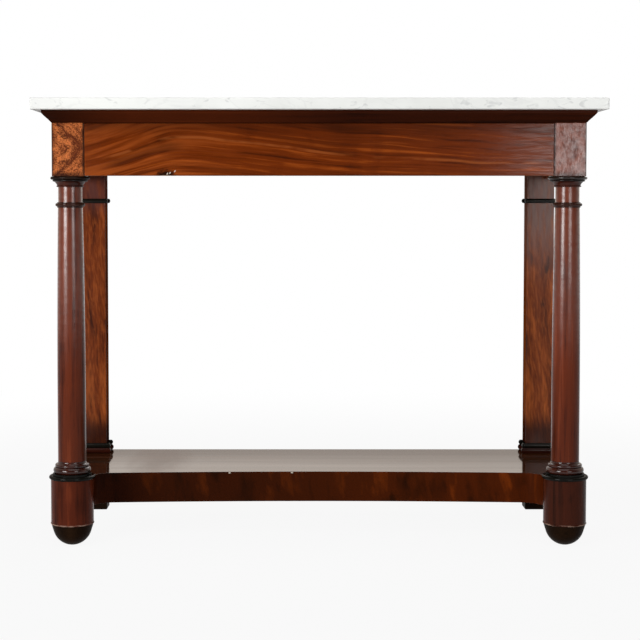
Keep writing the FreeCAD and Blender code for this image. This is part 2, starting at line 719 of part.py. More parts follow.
keep(group("drawer_runners", runners), group("drawer_guides", guides), group("drawer_kickers", kickers))
keep(group("drum_dowels", dowels), group("shelf_corner_blocks", shelf_blocks))
keep(group("post_beads", post_beads))


def front_line(inset, way):
    """The shelf's front between its two ears, inset behind the face: a shallow sweep that a tighter arc turns
    forward at each end. Way 1 runs from left to right, and -1 back again."""
    ear = f"({way} * (ear_x + {inset}))"
    share = f"(shelf_sweep + {inset}) / (shelf_sweep - shelf_corner)"
    turn_x = f"({way} * corner_x * {share})"
    turn_y = f"sweep_y + (corner_y - sweep_y) * {share}"
    corner, sweep = f"shelf_corner + {inset}", f"shelf_sweep + {inset}"
    return [(f"-{ear}", "ear_y"), (f"-{ear}", "corner_y"), (f"-{turn_x}", turn_y, corner, -way),
            (turn_x, turn_y, sweep, -way), (ear, "corner_y", corner, -way), (ear, "ear_y")]


# Shelf: board, curved front rail and back rail, with a facing bent round the whole front
board_round = "ear_round - facing_thickness"
shelf_board = padded("shelf_board", "XY_Plane",
                     [*front_line("facing_thickness", 1),
                      ("ear_side_x", "ear_y"), ("ear_side_x", "ear_y + facing_thickness"),
                      ("shelf_core_x", "ear_side_y", board_round, 1), ("shelf_core_x", "back_y"),
                      ("-shelf_core_x", "back_y"), ("-shelf_core_x", "ear_side_y"),
                      ("-ear_side_x", "ear_y + facing_thickness", board_round, 1), ("-ear_side_x", "ear_y")],
                     "shelf_board_thickness", z="board_z")
keep(with_cut(shelf_board, *shelf_mortises))
keep(padded("shelf_front_rail", "XY_Plane",
            [*front_line("facing_thickness", 1)[1:-1], ("ear_core_x", "shelf_front_back_y"),
             ("-ear_core_x", "shelf_front_back_y")],
            "shelf_face - shelf_board_thickness", z="shelf_z"))
keep(padded("shelf_front_facing", "XY_Plane", front_line("0", 1) + front_line("facing_thickness", -1),
            "shelf_face", z="shelf_z"))
keep(board("shelf_back_rail", ("-shelf_core_x", "shelf_core_x"), ("shelf_back_rail_y", "back_y"),
           ("shelf_z", "board_z")))

# Drawer front: a core faced with figured veneer, between the blocks
front_x = ("-(ear_x - drawer_gap)", "ear_x - drawer_gap")
front_z = ("frieze_z + drawer_gap", "cornice_z - drawer_gap")
keep(board("drawer_front_veneer", front_x, ("veneer_y", "core_y"), front_z))
drawer_front = board("drawer_front", front_x, ("core_y", "core_back_y"), front_z)

# Drawer bottom, slid from behind into grooves in the front and sides, and the back housed above it
bottom, groove = fitted_board("drawer_bottom", ("-groove_x", "groove_x"), ("groove_y", "drawer_end_y"),
                              ("groove_z", "groove_top"))
housing_x = "(drawer_inner_x + drawer_back_housing)"
back, housing = fitted_board("drawer_back", (f"-{housing_x}", housing_x),
                             ("drawer_back_y", "drawer_back_y + drawer_back_thickness"),
                             ("groove_top + joint_clearance", "drawer_top - drawer_back_drop"))
keep(bottom, back)

# Drawer sides, each with lapped dovetails into the front
TAILS = 3
sockets = []
for side, sign in SIDES.items():
    edge = []
    for tail in reversed(range(TAILS)):
        middle = f"(drawer_z + drawer_side_height * {(tail + 0.5) / TAILS})"
        edge += [("core_back_y", f"{middle} + tail_root"), ("tail_y", f"{middle} + tail_root + tail_flare"),
                 ("tail_y", f"{middle} - tail_root - tail_flare"), ("core_back_y", f"{middle} - tail_root")]
        root = "(tail_root + joint_clearance)"
        tip = f"({root} + tail_flare)"
        socket_y = "tail_y - joint_clearance"
        socket_x = span(sign, "drawer_inner_x - joint_clearance", "ear_x")
        sockets.append(padded(
            f"socket_{side}", "YZ_Plane",
            [("core_back_y", f"{middle} + {root}"), (socket_y, f"{middle} + {tip}"),
             (socket_y, f"{middle} - {tip}"), ("core_back_y", f"{middle} - {root}")],
            f"({socket_x[1]}) - ({socket_x[0]})", socket_x[0]))
    drawer_side = padded(
        f"drawer_side_{side}", "YZ_Plane",
        [("drawer_end_y", "drawer_z"), ("drawer_end_y", "drawer_top"), ("core_back_y", "drawer_top"), *edge,
         ("core_back_y", "drawer_z")],
        "drawer_side_thickness", span(sign, "drawer_inner_x", "drawer_x")[0])
    keep(with_cut(drawer_side, groove, housing))
keep(with_cut(drawer_front, groove, *sockets))

doc.recompute()
for item in doc.Objects:
    if "Invalid" in item.State or "Error" in item.State:
        raise RuntimeError(f"{item.Label} did not compute: {item.State}")
for part in parts:
    if part.Shape.isNull() or not part.Shape.isValid():
        raise RuntimeError(f"{part.Label} has no valid shape")

os.makedirs("parts", exist_ok=True)
for part in parts:
    part.Shape.exportStep(f"parts/{part.Label}.step")
    print(part.Label, len(part.Shape.Solids), round(part.Shape.Volume))
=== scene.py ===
import math

import bmesh
import bpy
import numpy as np
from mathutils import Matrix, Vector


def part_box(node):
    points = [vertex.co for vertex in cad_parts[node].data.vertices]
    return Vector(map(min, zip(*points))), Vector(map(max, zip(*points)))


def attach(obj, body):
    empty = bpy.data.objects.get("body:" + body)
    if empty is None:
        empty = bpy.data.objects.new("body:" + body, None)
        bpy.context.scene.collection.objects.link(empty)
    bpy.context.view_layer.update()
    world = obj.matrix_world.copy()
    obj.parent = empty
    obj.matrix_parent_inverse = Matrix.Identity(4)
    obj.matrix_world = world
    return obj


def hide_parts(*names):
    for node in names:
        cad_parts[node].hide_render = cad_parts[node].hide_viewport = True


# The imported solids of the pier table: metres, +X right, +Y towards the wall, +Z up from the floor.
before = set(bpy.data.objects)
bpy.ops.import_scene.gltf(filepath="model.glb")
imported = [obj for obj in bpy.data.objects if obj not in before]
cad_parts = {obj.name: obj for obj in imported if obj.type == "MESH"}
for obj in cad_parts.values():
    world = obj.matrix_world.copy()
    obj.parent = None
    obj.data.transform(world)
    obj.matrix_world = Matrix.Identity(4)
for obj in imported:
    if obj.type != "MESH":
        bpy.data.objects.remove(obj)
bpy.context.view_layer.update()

# Bullet feet: turned in beech, stained black-brown and waxed, one under each drum. A spigot holds each foot
# in its drum, and the small flat at the bottom takes the weight.
SIDES = {"left": -1, "right": 1}
lathe_steps = 128
arc_steps = 13
sharp_arris = math.radians(35)
weld = 1e-6


def surface(name, grid, closed, capped=False, ease=0.0004):
    """A mesh over a grid of points: four neighbours make a face. A closed direction joins its last row to
    its first, caps fill the two ends of a tube, and sharp arrises are eased by that width."""
    rows, columns = grid.shape[:2]
    index = np.arange(rows * columns).reshape(rows, columns)
    next_row = np.roll(index, -1, 0)
    quads = np.stack([index, next_row, np.roll(next_row, -1, 1), np.roll(index, -1, 1)], -1)
    quads = quads[:rows if closed[0] else -1, :columns if closed[1] else -1]
    faces = quads.reshape(-1, 4).tolist()
    if capped:
        faces += [index[0].tolist(), index[-1].tolist()]
    mesh = bpy.data.meshes.new(name)
    mesh.from_pydata(grid.reshape(-1, 3).tolist(), [], faces)
    work = bmesh.new()
    work.from_mesh(mesh)
    bmesh.ops.remove_doubles(work, verts=work.verts, dist=weld)
    bmesh.ops.recalc_face_normals(work, faces=work.faces)
    work.to_mesh(mesh)
    work.free()
    mesh.shade_smooth()
    piece = bpy.data.objects.new(name, mesh)
    bpy.context.scene.collection.objects.link(piece)
    arrises = piece.modifiers.new("arrises", "BEVEL")
    arrises.width = ease
    arrises.segments = 2
    arrises.limit_method = "ANGLE"
    arrises.angle_limit = sharp_arris
    piece.modifiers.new("flats", "WEIGHTED_NORMAL")
    return piece


def lathe(profile, axis):
    """Grid of a turned shape: each (radius, height) goes round the upright axis, so a point is
    (axis x + radius cos, axis y + radius sin, height)."""
    radius, height = np.array(profile).T
    angle = np.linspace(0, 2 * np.pi, lathe_steps, endpoint=False)[:, None]
    x = axis[0] + radius * np.cos(angle)
    y = axis[1] + radius * np.sin(angle)
    return np.stack(np.broadcast_arrays(x, y, height), -1)


def arc(start, finish, radius, turn=1):
    """Points of the arc from start to finish, counterclockwise for turn 1: equal angles about a centre on
    the perpendicular through the chord's middle."""
    start, finish = np.array(start), np.array(finish)
    chord = finish - start
    rise = math.sqrt(radius ** 2 - chord @ chord / 4)
    centre = (start + finish) / 2 + turn * rise * np.array([-chord[1], chord[0]]) / math.hypot(*chord)
    first, last = (math.atan2(y, x) for x, y in (start - centre, finish - centre))
    angle = first + turn * ((turn * (last - first)) % (2 * math.pi)) * np.linspace(0, 1, arc_steps)
    return (centre + radius * np.stack([np.cos(angle), np.sin(angle)], -1)).tolist()


class Shade:
    """An output socket of a material. Arithmetic on it adds Math nodes, and node() adds any other node."""

    def __init__(self, socket):
        self.socket = socket

    def node(self, kind, settings=None, inputs=None, output=0):
        """A node of that type, with its settings (stops are a ramp's) and its sockets' values or links."""
        tree = self.socket.id_data
        made = tree.nodes.new(kind)
        for setting, value in (settings or {}).items():
            if setting == "stops":
                marks = made.color_ramp.elements
                while len(marks) < len(value):
                    marks.new(0.5)
                for mark, (position, colour) in zip(marks, value):
                    mark.position = position
                    mark.color = colour
            else:
                setattr(made, setting, value)
        for name, value in (inputs or {}).items():
            if isinstance(value, Shade):
                tree.links.new(value.socket, made.inputs[name])
            else:
                made.inputs[name].default_value = value
        return Shade(made.outputs[output]) if made.outputs else None

    def maths(self, operation, *others):
        """A Math node on this value and the others."""
        return self.node("ShaderNodeMath", {"operation": operation}, dict(enumerate((self, *others))))

    def __add__(self, other):
        return self.maths("ADD", other)

    def __sub__(self, other):
        return self.maths("SUBTRACT", other)

    def __rsub__(self, other):
        return self.node("ShaderNodeMath", {"operation": "SUBTRACT"}, {0: other, 1: self})

    def __mul__(self, other):
        return self.maths("MULTIPLY", other)

    def __truediv__(self, other):
        return self.maths("DIVIDE", other)

    def __abs__(self):
        return self.maths("ABSOLUTE")

    __radd__ = __add__
    __rmul__ = __mul__


def tint(red, green, blue):
    """A colour as it looks on a screen, from 0 to 255, made linear."""
    share = np.array([red, green, blue]) / 255
    return (*np.where(share > 0.04045, ((share + 0.055) / 1.055) ** 2.4, share / 12.92).tolist(), 1.0)


def finish(name):
    """A new material, and its Object coordinates to work from."""
    material = bpy.data.materials.new(name)
    material.use_nodes = True
    material.node_tree.nodes.clear()
    return material, Shade(material.node_tree.nodes.new("ShaderNodeTexCoord").outputs["Object"])


def noise(place, scale, detail=3.0, distortion=0.0):
    """Noise over the place times three scales, one for each direction."""
    stretched = place.node("ShaderNodeVectorMath", {"operation": "MULTIPLY"}, {0: place, 1: scale})
    return place.node("ShaderNodeTexNoise", None,
                      {"Vector": stretched, "Scale": 1.0, "Detail": detail, "Distortion": distortion})


def ramp(tone, *stops):
    """A colour for each tone, between the colours of its stops."""
    return tone.node("ShaderNodeValToRGB", {"stops": stops}, {0: tone})


def blend(share, first, second):
    """The first colour where the share is 0 and the second where it is 1."""
    return share.node("ShaderNodeMix", {"data_type": "RGBA"}, {0: share, 6: first, 7: second}, 2)


def fade(value, start, end):
    """0 up to the start, 1 from the end on, and smooth between them."""
    return value.node("ShaderNodeMapRange", {"interpolation_type": "SMOOTHSTEP"},
                      {"Value": value, "From Min": start, "From Max": end})


def lacquer(place, colour, roughness, relief, depth, gloss=0.5, coat=0.0, haze=0.2):
    """The surface itself: a dielectric over the colour, with its relief that many metres deep. A gloss of
    0.5 mirrors as glass does, and less of it as dull wax. Coat is the share of clear polish over it, one
    number or a function of the place, and haze the roughness of that polish."""
    normal = place.node("ShaderNodeBump", None, {"Height": relief, "Distance": depth})
    shader = place.node("ShaderNodeBsdfPrincipled", None,
                        {"Base Color": colour, "Roughness": roughness, "Specular IOR Level": gloss,
                         "Coat Weight": coat(place) if callable(coat) else coat, "Coat Roughness": haze,
                         "Normal": normal})
    place.node("ShaderNodeOutputMaterial", None, {"Surface": shader})


def ebonised(name, black, worn, shine, gloss, coat=0.0, haze=0.2):
    """Black-stained wood: brown shows through in patches, over fine grain that the stain hasn't filled."""
    material, place = finish(name)
    patches = noise(place, (28, 28, 14), 4)
    grain = noise(place, (420, 420, 60), 2)
    colour = ramp(patches * 0.7 + grain * 0.3, (0.36, tint(*black)), (0.68, tint(*worn)))
    relief = grain + noise(place, (60, 60, 60)) * 2
    lacquer(place, colour, shine + patches * 0.16, relief, 0.00012, gloss, coat, haze)
    return material


def dressed(piece, material, slot, *nodes, body="table"):
    """The piece in its finish, riding on its body in place of the CAD nodes that it stands for."""
    piece.data.materials.append(material)
    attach(piece, body)
    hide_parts(*nodes)


def turned(name, profile, side, material, slot, node, hollow=False):
    """A piece turned about the column's axis on that side; the profile of a hollow one is a closed loop."""
    piece = surface(f"{name}_{side}", lathe(profile, column_axis[side]), (True, hollow))
    dressed(piece, material, slot, f"{node}_{side}")


foot_flat = 0.008
foot_round = (0.0382, 0.0272)
foot_curve = 0.040
foot_radius = 0.0432
foot_black = ebonised("foot_black", (18, 10, 5), (38, 23, 12), shine=0.36, gloss=0.02)
drum_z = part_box("drum_left")[0].z
column_axis = {}
for side in SIDES:
    low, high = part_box(f"front_foot_{side}")
    column_axis[side] = ((low + high) / 2)[:2]
    bullet = [(0, 0), *arc((foot_flat, 0), foot_round, foot_curve), (foot_radius, drum_z), (0, drum_z)]
    turned("bullet_foot", bullet, side, foot_black, "ebonised_wood", "front_foot")

# Rear feet: square blocks of the same black wood under the posts, their lower arrises a little rounder than
# the others. A spigot goes up into the shelf.
foot_edge = 0.001
foot_low_edge = 0.002


def block(name, low, high, radius, low_radius=None):
    """A board with rounded arrises: the eight eighths of a ball pulled apart to the board's corners, so a
    point is its corner's centre plus radius times direction, and the flat faces fill the gaps between."""
    low, high = np.array(low), np.array(high)
    steps = 5
    quarter = np.linspace(0, np.pi / 2, steps)
    turn = (quarter + np.arange(4)[:, None] * np.pi / 2).ravel()
    lift = (quarter + np.array([[-1], [0]]) * np.pi / 2).ravel()[:, None]
    ball = np.stack(np.broadcast_arrays(np.cos(lift) * np.cos(turn), np.cos(lift) * np.sin(turn),
                                        np.sin(lift)), -1)
    way = np.stack(np.broadcast_arrays(np.repeat([1, -1, -1, 1], steps), np.repeat([1, 1, -1, -1], steps),
                                       np.repeat([-1, 1], steps)[:, None]), -1)
    reach = np.where(way[..., 2:] < 0, low_radius or radius, radius)
    grid = (low + high) / 2 + way * ((high - low) / 2 - reach) + reach * ball
    return surface(name, grid, (False, True), capped=True)


for side in SIDES:
    low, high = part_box(f"rear_foot_{side}")
    high.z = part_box("shelf_back_rail")[0].z
    rear_foot = block(f"rear_foot_block_{side}", low, high, foot_edge, foot_low_edge)
    dressed(rear_foot, foot_black, "ebonised_wood", f"rear_foot_{side}")

# Drums: turned mahogany under the columns, with a fine bead at the foot and a flat behind that is dowelled
# to the shelf. Dark red-brown in polish that has gone dull, the right one painted darker as shade.
drum_radius = 0.0437
drum_bead = 0.0035
drum_bead_radius = 0.0447
bead_highlight_z = (0.0034, 0.0026)
# Lit and shaded copies: the right drum's tones are painted darker as shade.
drum_lit_and_shaded_tones = {"left": [(50, 18, 9), (80, 32, 17), (112, 50, 28)],
              "right": [(36, 15, 8), (60, 26, 15), (84, 39, 23)]}
ear_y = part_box("shelf_corner_blocks")[0].y
shelf_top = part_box("shelf_board")[1].z
drum_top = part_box("base_ring_left")[0].z


def bead(tip, low, height):
    """Points of a half-round bead, from its lower to its upper edge: a half circle that reaches the tip."""
    angle = np.linspace(-np.pi / 2, np.pi / 2, arc_steps)
    half = height / 2
    return np.stack([tip - half + half * np.cos(angle), low + half + half * np.sin(angle)], -1).tolist()


def directions(place):
    """The x, y and z of a place."""
    return [place.node("ShaderNodeSeparateXYZ", None, {0: place}, axis) for axis in range(3)]


def joined(x, y, z):
    """A place of three values."""
    return x.node("ShaderNodeCombineXYZ", None, {0: x, 1: y, 2: z})


def upright(place):
    """The wood's own directions where its grain stands upright: along the grain, then across it."""
    x, y, z = directions(place)
    return joined(z, x, y)


def mahogany(name, lie, tones, figure=(2.2, 42), shine=0.13, gloss=0.15, ripple=0.0009, marks=(), coat=0.0,
             haze=0.2):
    """French polished mahogany in three tones, dark, middle and light. In the wood's own directions, broad
    noise drawn out along the grain is the figure, finer noise the streaks in it, and short thin dashes the
    open pores. Clouds of darker wood lie over them all. The polish ripples that many metres deep. Each mark
    is a share of another tone, laid over the figure."""
    material, place = finish(name)
    dark, middle, light = (tint(*tone) for tone in tones)
    wood = lie(place)
    along, across = figure
    broad = noise(wood, (along, across, across), 3, 0.5)
    streaks = noise(wood, (along * 3, across * 2.6, across * 2.6), 4, 0.4)
    pores = fade(noise(wood, (70, 1100, 1100), 1), 0.66, 0.74)
    clouds = fade(noise(place, (9, 9, 9), 4, 1.0), 0.46, 0.70)
    tone = broad * 0.62 + streaks * 0.38 - clouds * 0.06
    colour = ramp(tone, (0.34, dark), (0.47, middle), (0.54, middle), (0.68, light))
    colour = blend(pores * 0.35, colour, dark)
    for share, mark in marks:
        colour = blend(share(place), colour, tint(*mark))
    relief = noise(place, (38, 38, 38), 2) + streaks * 0.10 - pores * 0.08
    lacquer(place, colour, shine + streaks * 0.10, relief, ripple, gloss, coat, haze)
    return material


def bead_painted_highlight(place):
    """A painted highlight: pale patches along the bead at the drum's foot, where it catches the light."""
    low = fade(directions(place)[2], drum_z + bead_highlight_z[0], drum_z + bead_highlight_z[1])
    patches = fade(noise(place, (50, 50, 300), 2), 0.40, 0.62)
    return low * patches * 0.6


for side in SIDES:
    barrel = [(0, drum_z), *bead(drum_bead_radius, drum_z, drum_bead), (drum_radius, drum_z + drum_bead),
              (drum_radius, shelf_top), (drum_radius, shelf_top), (drum_radius, drum_top), (0, drum_top)]
    grid = lathe(barrel, column_axis[side])
    # All points but the last three, which stand above the shelf, stop at the flat against its ear.
    grid[:, :-3, 1] = np.minimum(grid[:, :-3, 1], ear_y)
    # The pale patches on the bead are a painted highlight.
    drum_red = mahogany(f"drum_red_{side}", upright, drum_lit_and_shaded_tones[side], shine=0.2, gloss=0.05,
                        marks=[(bead_painted_highlight, (172, 142, 126))])
    dressed(surface(f"drum_barrel_{side}", grid, (True, False)), drum_red, "mahogany", f"drum_{side}")


# Shelf frame: plain oak rails, corner blocks and dowels, glued up under the shelf board. Planed, never
# polished, and brown with age.
def oak(name, axis):
    """Old bare oak with its grain along one axis: drawn-out noise for the growth rings, dashes for the open
    pores, and soft patches of grime."""
    material, place = finish(name)
    order = directions(place)
    wood = joined(order[axis], order[axis - 1], order[axis - 2])
    rings = noise(wood, (2.5, 60, 60), 4, 0.5)
    pores = fade(noise(wood, (45, 900, 900), 1), 0.6, 0.7)
    grime = fade(noise(place, (5, 5, 5), 4), 0.45, 0.75)
    colour = ramp(rings, (0.33, tint(112, 80, 48)), (0.5, tint(146, 110, 70)), (0.68, tint(172, 136, 92)))
    colour = blend(pores * 0.6 + grime * 0.35, colour, tint(70, 48, 28))
    lacquer(place, colour, 0.62 + rings * 0.2, rings - pores * 0.6, 0.0004)
    return material


oak_along = [oak(f"bare_oak_{letter}", axis) for axis, letter in enumerate("xyz")]


def bare_oak(*nodes):
    """These CAD nodes stay as they are, in oak whose grain runs along each one's longest side."""
    for node in nodes:
        low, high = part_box(node)
        size = [high[axis] - low[axis] for axis in range(3)]
        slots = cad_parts[node].data.materials
        slots.clear()
        slots.append(oak_along[size.index(max(size))])


bare_oak("shelf_front_rail", "shelf_back_rail", "shelf_side_rail_left", "shelf_side_rail_right",
         "shelf_corner_blocks", "drum_dowels")

# Shelf facings: mahogany veneer bent round the hollow front and along both sides, glued to the rails and
# flush with the shelf's top. Dark, with a mottled flame, and painted shade that deepens to the left end.
facing = 0.002
shelf_sweep = 6.0
shelf_corner = 0.045
corner_steps = 14
sweep_steps = 42
ear_steps = 9
left_end_shade_x = (0.40, -0.30)
rail_chip_x = (-0.188, -0.055)
rail_chip_drop = 0.002
rail_chip_half = (0.003, 0.002)


def carried(name, path, outward, profile):
    """A profile carried along a path: a point is the path's point plus outward times the profile's first
    value, at the height of its second."""
    path, outward, profile = np.array(path), np.array(outward), np.array(profile)
    flat = path[:, None] + outward[:, None] * profile[:, :1]
    height = np.broadcast_to(profile[:, 1:], flat.shape[:2] + (1,))
    return surface(name, np.concatenate([flat, height], -1), (False, True), capped=True)


def lengthwise(place):
    """The wood's own directions where its grain runs along X."""
    x, y, z = directions(place)
    return joined(x, z, y)


def mottled(place):
    """Grain along X whose figure is broken up into short upright flames."""
    x, y, z = directions(place)
    return joined(x * 6 + z * 0.6, z * 0.14 + x * 0.06, y)


def left_end_shade(place):
    """Painted shade in black-brown, deepest at the left end of the shelf."""
    return fade(directions(place)[0], *left_end_shade_x) * 0.55


def rail_chips(place):
    """Two small chips in the veneer under the shelf's front edge, each an ellipse."""
    x, y, z = directions(place)
    below = (shelf_top - rail_chip_drop - z) / rail_chip_half[1]
    beside = [(x - spot) / rail_chip_half[0] for spot in rail_chip_x]
    return sum(fade(away * away + below * below, 1.0, 0.3) for away in beside) * 0.8


# The front facing follows three arcs from ear to ear: a corner, the wide hollow sweep, and a corner.
ear_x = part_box("corner_block_right")[0].x
facing_low, facing_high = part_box("shelf_front_facing")
sweep_y = facing_high.y - facing - shelf_sweep
corner_x = ear_x - shelf_corner
corner_y = sweep_y + math.sqrt((shelf_sweep - shelf_corner) ** 2 - corner_x ** 2)
meeting = math.atan2(corner_y - sweep_y, corner_x)
turns = [np.linspace(math.pi, math.pi - meeting, corner_steps),
         np.linspace(math.pi - meeting, meeting, sweep_steps)[1:-1],
         np.linspace(meeting, 0, corner_steps)]
bends = [((-corner_x, corner_y), shelf_corner), ((0, sweep_y), shelf_sweep),
         ((corner_x, corner_y), shelf_corner)]
inward = [np.stack([np.cos(turn), np.sin(turn)], -1) for turn in turns]
curves = [np.array(centre) + radius * way for (centre, radius), way in zip(bends, inward)]
front_path = np.concatenate([[(-ear_x, ear_y)], *curves, [(ear_x, ear_y)]])
front_inward = np.concatenate([[(-1, 0)], *inward, [(1, 0)]])
strip = [(0, facing_low.z), (0, shelf_top), (facing, shelf_top), (facing, facing_low.z)]
# The black-brown towards the left end is painted shade.
flame = mahogany("shelf_flame", mottled, [(42, 15, 3), (70, 26, 5), (112, 47, 10)], figure=(2.6, 40),
                 shine=0.24, gloss=0.02, marks=[(left_end_shade, (14, 7, 4)), (rail_chips, (205, 196, 182))])
front_veneer = carried("shelf_front_veneer", front_path, front_inward, strip)
dressed(front_veneer, flame, "mahogany", "shelf_front_facing")

# Each side facing runs straight from the wall and turns a quarter round the ear.
wall_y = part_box("shelf_board")[1].y
shelf_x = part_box("shelf_side_facing_right")[1].x
ear_side_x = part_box("shelf_side_facing_right")[0].x
ear_round = shelf_x - ear_side_x
ear_middle = (ear_side_x, ear_y + ear_round)
quarter_turn = np.linspace(0, -math.pi / 2, ear_steps)
rounding = np.stack([np.cos(quarter_turn), np.sin(quarter_turn)], -1)
side_path = np.concatenate([[(shelf_x, wall_y)], ear_middle + ear_round * rounding])
side_inward = np.concatenate([[(-1, 0)], -rounding])
for side, sign in SIDES.items():
    veneer = carried(f"shelf_side_veneer_{side}", side_path * (sign, 1), side_inward * (sign, 1), strip)
    dressed(veneer, flame, "mahogany", f"shelf_side_facing_{side}")

# Shelf board: one wide mahogany board cut to the hollow front, glued down on the rails between the facings.
# Its polish is the glassiest on the table and mirrors whatever stands behind it.
spill_x, spill_y = -0.35, 0.10
spill_half = (0.07, 0.26)
dull_from_y = -0.10
dull_right_x = (-0.15, 0.40)


def spill(place):
    """An old spill near the left end, a ragged ellipse where the polish has gone dull and red."""
    x, y, z = directions(place)
    across = (x - spill_x) / spill_half[0]
    along = (y - spill_y) / spill_half[1]
    ragged = noise(place, (26, 7, 26), 2) * 1.2
    return fade(across * across + along * along + ragged, 2.0, 0.4) * 0.5


def shelf_polish(place):
    """Polish worn thin in fine streaks along the shelf, towards its right end and under the wall, where it
    is seldom rubbed up, and gone where it was spilt on."""
    x, y, z = directions(place)
    streaks = fade(noise(lengthwise(place), (1.2, 10, 36), 4), 0.36, 0.62)
    rear = fade(y, dull_from_y, wall_y) * 0.75
    right = fade(x, *dull_right_x) * 0.18
    return (streaks * 0.14 + 0.72) * (1 - rear) * (1 - right) * (1 - spill(place))


# The outline goes along the inside of the front facing, round the right ear, along the wall and round the
# left ear, at two heights.
board_low, board_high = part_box("shelf_board")
ear_end = np.concatenate([ear_middle + (ear_round - facing) * rounding, [(ear_side_x, ear_y)]])
outline = np.concatenate([front_path + facing * front_inward, ear_end[::-1], [(board_high.x, board_high.y)],
                          [(-board_high.x, board_high.y)], ear_end * (-1, 1)])
levels = np.array([board_low.z, board_high.z])[:, None]
board_grid = np.stack(np.broadcast_arrays(outline[:, 0], outline[:, 1], levels), -1)
board_brown = mahogany("shelf_board_brown", lengthwise, [(48, 25, 12), (68, 37, 20), (88, 52, 30)],
                       figure=(1.4, 34), shine=0.05, gloss=0.02, ripple=0.00003,
                       marks=[(spill, (96, 48, 26))], coat=shelf_polish, haze=0.06)
board = surface("shelf_top_board", board_grid, (False, True), capped=True)
dressed(board, board_brown, "mahogany", "shelf_board")

# Columns: from the drum up, a black ring, a turned base, the shaft with its neck, a dark collar round the
# neck, a flared capital and a black plate, all threaded on the shaft's spigots. Deep red, with a high gloss.
drum_ring_radius = 0.0473
drum_ring_height = 0.0076
drum_ring_neck = 0.0393
base_roll_radius = 0.0348
base_roll_height = 0.013
base_roll_bulge = 0.0036
base_bead_radius = 0.0326
base_bead_height = 0.007
base_bead_bulge = 0.0021
base_hollow_radius = 0.031
base_hollow_curve = 0.006
shaft_radius = 0.0288
shaft_top_radius = 0.0252
shaft_straight = 0.126
neck_radius = 0.0245
neck_fillet_radius = 0.0266
neck_fillet_height = 0.0024
neck_bead_radius = 0.0302
neck_bead_height = 0.007
capital_bead_radius = 0.0278
capital_bead_height = 0.0032
capital_neck = 0.0264
capital_flare_radius = 0.033
capital_flare_curve = 0.014
capital_roll_radius = 0.0356
capital_roll_height = 0.0038
capital_roll_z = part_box("capital_left")[1].z - capital_roll_height
plate_radius = 0.040
roll_shadow_half = 0.0006
column_darker_z = (0.50, 0.16)
column_polish_z = (0.34, 0.58)
plate_bloom_x = (0.2, 0.5)


def rounded(flat, low, high, bulge):
    """Points of a rounded face: the arc that stands out from a flat by the bulge."""
    radius = ((high - low) ** 2 / 4 + bulge ** 2) / (2 * bulge)
    return arc((flat, low), (flat, high), radius)


def foot_shadow(place):
    """Darker from half height down to the column's foot."""
    return fade(directions(place)[2], *column_darker_z) * 0.30


def column_polish(place):
    """Polish that has been kept up on the upper half of the column and has worn away below, uneven over the
    ripples that the turning left."""
    uneven = fade(noise(place, (60, 60, 190), 2), 0.38, 0.62) * 0.4 + 0.6
    return fade(directions(place)[2], *column_polish_z) * uneven


def roll_shadow(place):
    """Black stain on the roll at the top of the capital."""
    height = directions(place)[2]
    return fade(height, capital_roll_z - roll_shadow_half, capital_roll_z + roll_shadow_half) * 0.93


def plate_polish(place):
    """Polish on the plates, bloomed on the right one as on the block above it."""
    return fade(directions(place)[0], *plate_bloom_x) * 0.5 + 0.18


column_figure = (3.0, 60)
ring_black = ebonised("ring_black", (8, 9, 6), (18, 16, 12), shine=0.2, gloss=0.0, coat=0.18, haze=0.09)
collar_brown = ebonised("collar_brown", (38, 15, 8), (64, 32, 21), shine=0.2, gloss=0.0, coat=0.36,
                        haze=0.09)
plate_black = ebonised("plate_black", (20, 10, 6), (40, 25, 17), shine=0.2, gloss=0.0, coat=plate_polish)
column_red = mahogany("column_red", upright, [(68, 24, 10), (102, 41, 18), (130, 58, 30)], column_figure,
                      shine=0.10, gloss=0.10, ripple=0.0005, marks=[(foot_shadow, (20, 5, 3))],
                      coat=column_polish, haze=0.26)
attic_red = mahogany("attic_red", upright, [(26, 9, 5), (48, 17, 10), (70, 28, 16)], column_figure,
                     shine=0.2, gloss=0.0, ripple=0.0003, coat=0.7, haze=0.14)
# The capital's tones are darker than the shaft's: darker wood, and partly painted shade under the plate.
capital_red = mahogany("capital_red", upright, [(40, 13, 6), (62, 23, 11), (82, 34, 18)], column_figure,
                       shine=0.2, gloss=0.0, ripple=0.0003, marks=[(roll_shadow, (14, 9, 6))], coat=0.36,
                       haze=0.14)
